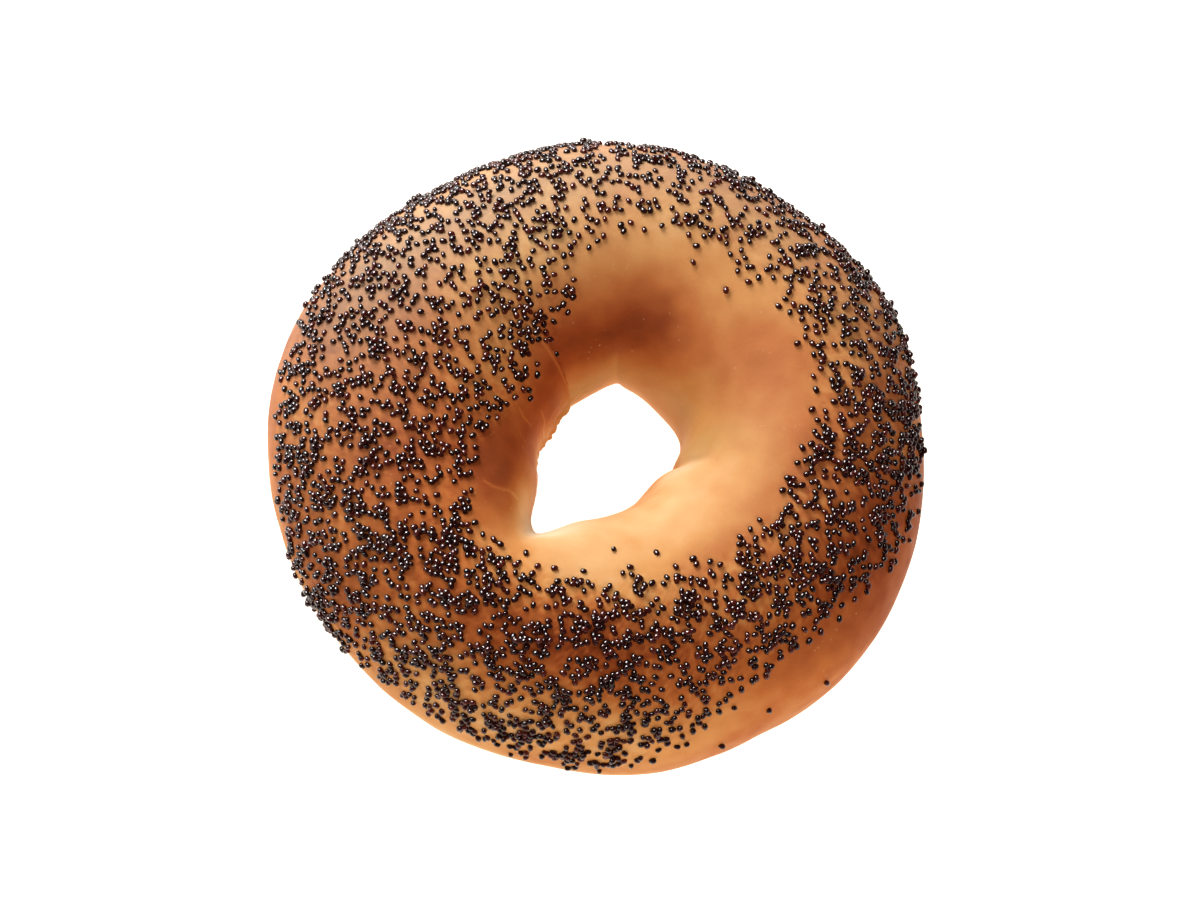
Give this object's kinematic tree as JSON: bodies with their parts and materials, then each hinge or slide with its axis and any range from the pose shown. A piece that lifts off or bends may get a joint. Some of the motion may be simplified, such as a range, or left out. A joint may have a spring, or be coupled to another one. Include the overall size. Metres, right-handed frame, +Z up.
{
  "type": "poppy seed bagel",
  "caption": "Baked bread ring with a rounded crown, a flat base, an uneven hole and small dark seeds on its upper crust.",
  "frame": {"origin": "middle of the bagel's bounding box, on the plane of its flat base", "axes": "+Z up through the hole, from the flat base to the crown; -Y towards the side that the picture's camera looks from"},
  "size_m": [0.1102, 0.1094, 0.038],
  "materials": {
    "crust": "baked bread crust, golden to chestnut brown, satin",
    "poppy_seed": "dry poppy seed, near black with a slate sheen"
  },
  "bodies": {
    "root": {"bagel": "crust"}
  },
  "joints": []
}
